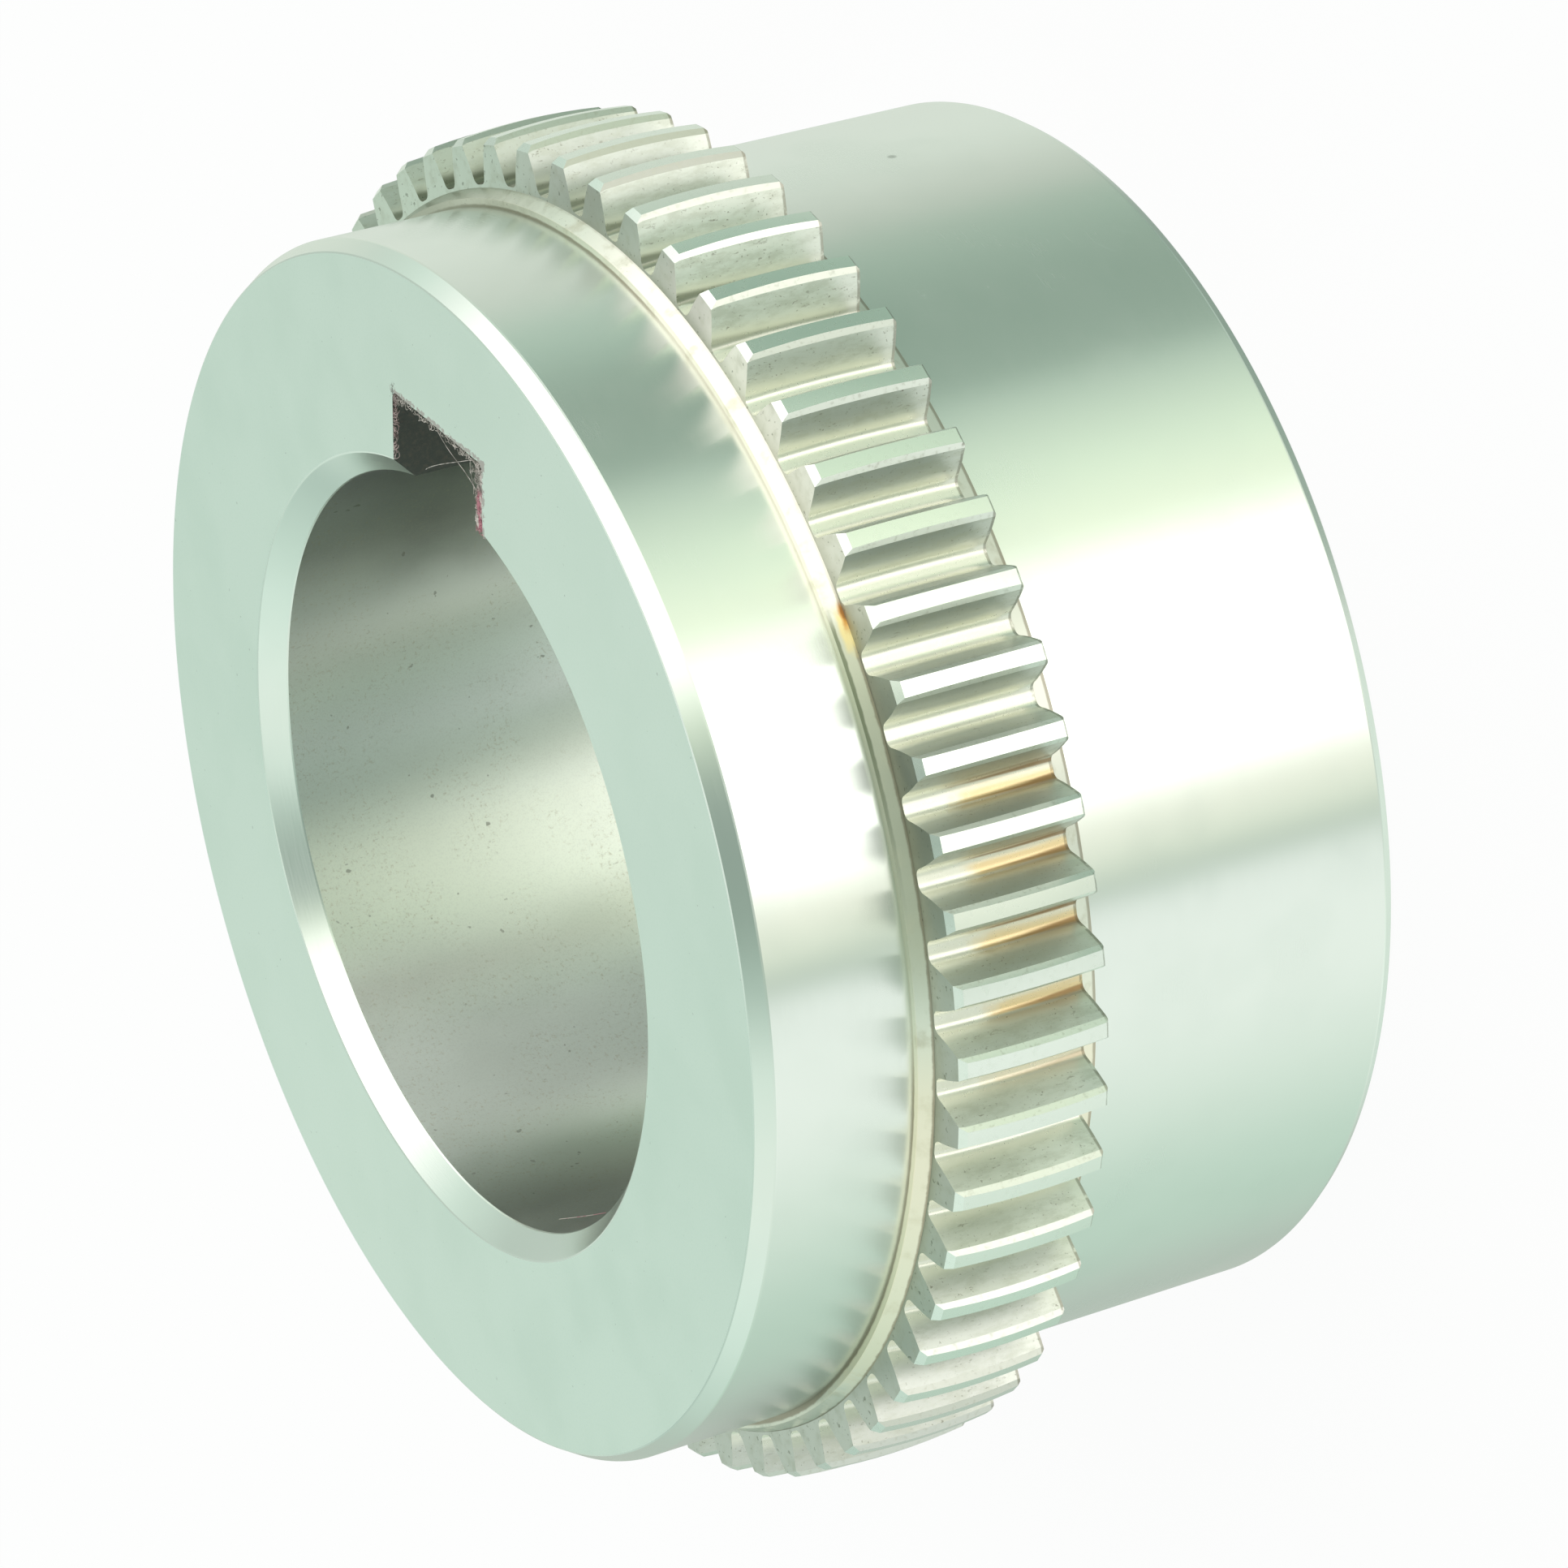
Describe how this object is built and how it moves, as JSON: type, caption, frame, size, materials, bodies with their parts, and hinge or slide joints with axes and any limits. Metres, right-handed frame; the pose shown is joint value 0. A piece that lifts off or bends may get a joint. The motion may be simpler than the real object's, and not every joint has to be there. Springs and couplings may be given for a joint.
{
  "type": "gear coupling hub",
  "caption": "Crowned gear coupling hub: a ring of curved external teeth round a cylindrical boss, with a keyed bore for a shaft.",
  "frame": {"origin": "centre of the rear face, on the axis of the bore", "axes": "+Z along the bore from the rear face to the front face, +X from the axis to the middle of the keyway"},
  "size_m": [0.0962, 0.0962, 0.0492],
  "materials": {
    "steel": "ground bosses, honed bore, matt hobbed teeth with light rust in some gaps"
  },
  "bodies": {
    "root": {"hub": "steel"}
  },
  "joints": []
}
